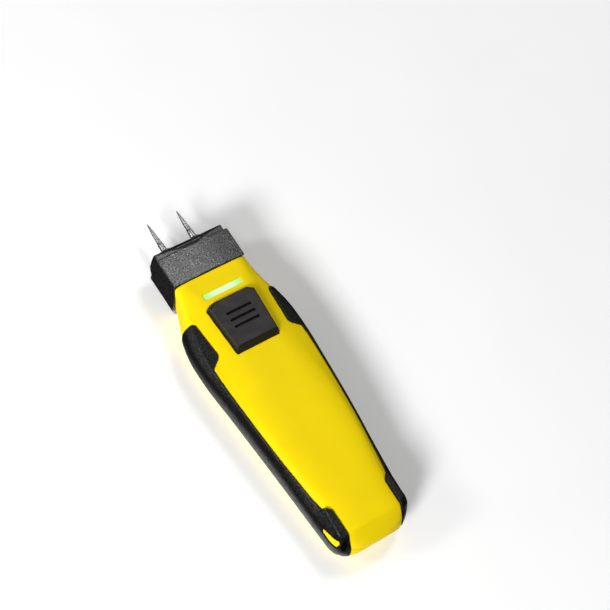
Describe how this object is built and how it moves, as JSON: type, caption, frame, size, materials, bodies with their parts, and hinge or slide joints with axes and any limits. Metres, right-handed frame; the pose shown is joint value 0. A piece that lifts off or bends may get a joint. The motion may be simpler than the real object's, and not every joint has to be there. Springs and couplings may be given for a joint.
{
  "type": "moisture meter",
  "caption": "Hand-held pin-type moisture meter: tapered yellow case with black rubber side grips, steel pins on a dark head, a light bar and a press key.",
  "frame": {"origin": "on the plane of the flat back face the meter rests on, on its centre line, half way between the case's lower end and the pins' tips", "axes": "+Y along the case towards the pins, +Z out of the front face with the key, +X to the right seen from the front with the pins up"},
  "size_m": [0.0462, 0.1524, 0.0233],
  "materials": {
    "yellow_case": "satin yellow ABS with a fine moulded grain",
    "graphite_moulding": "charcoal plastic with a fine spark-eroded grain",
    "grip_rubber": "black over-moulded rubber",
    "pin_steel": "polished hardened steel",
    "socket_brass": "turned brass",
    "wire_insulation": "red wire insulation",
    "cell_sleeve": "plain printed battery sleeve, no print shown",
    "contact_steel": "nickel-plated spring steel",
    "screw_steel": "zinc-plated steel",
    "insulator": "natural insulating plastic",
    "silicone_pad": "grey silicone",
    "light_guide": "clear diffusing plastic lit green",
    "board": "green solder mask",
    "black_component": "black epoxy",
    "led": "light-emitting diode lens"
  },
  "bodies": {
    "case": {"front_shell": "yellow_case", "rear_shell": "yellow_case", "measuring_head": "graphite_moulding", "electrode_carrier": "insulator", "key_return_pad": "silicone_pad", "light_guide": "light_guide", "circuit_board": "board", "key_switch": "black_component", "main_chip": "black_component", "radio_module": "contact_steel", "status_led_left": "led", "status_led_middle": "led", "status_led_right": "led", "left_grip": "grip_rubber", "left_electrode": "pin_steel", "left_electrode_collar": "pin_steel", "left_electrode_socket": "socket_brass", "left_electrode_lead": "wire_insulation", "left_cell": "cell_sleeve", "left_contact_spring": "contact_steel", "left_contact_plate": "contact_steel", "right_grip": "grip_rubber", "right_electrode": "pin_steel", "right_electrode_collar": "pin_steel", "right_electrode_socket": "socket_brass", "right_electrode_lead": "wire_insulation", "right_cell": "cell_sleeve", "right_contact_spring": "contact_steel", "right_contact_plate": "contact_steel", "lower_contact_bridge": "contact_steel", "case_screw_1": "screw_steel", "case_screw_2": "screw_steel", "case_screw_3": "screw_steel", "case_screw_4": "screw_steel", "board_screw_1": "screw_steel", "board_screw_2": "screw_steel"},
    "key": {"measure_key": "graphite_moulding"},
    "switch_plunger": {"switch_button": "silicone_pad"},
    "cover": {"battery_cover": "yellow_case"}
  },
  "joints": [
    {"name": "key_press", "type": "slide", "parent": "case", "child": "key", "axis": [0, 0, -1], "range_m": [0, 0.0008], "stiffness_N_per_m": 1500},
    {"name": "switch_press", "type": "slide", "parent": "case", "child": "switch_plunger", "axis": [0, 0, -1], "range_m": [0, 0.0008]},
    {"name": "cover_slide", "type": "slide", "parent": "case", "child": "cover", "axis": [0, -1, 0], "range_m": [0, 0.085]}
  ],
  "couplings": [
    {"joint": "switch_press", "follows": "key_press", "ratio": 1}
  ]
}
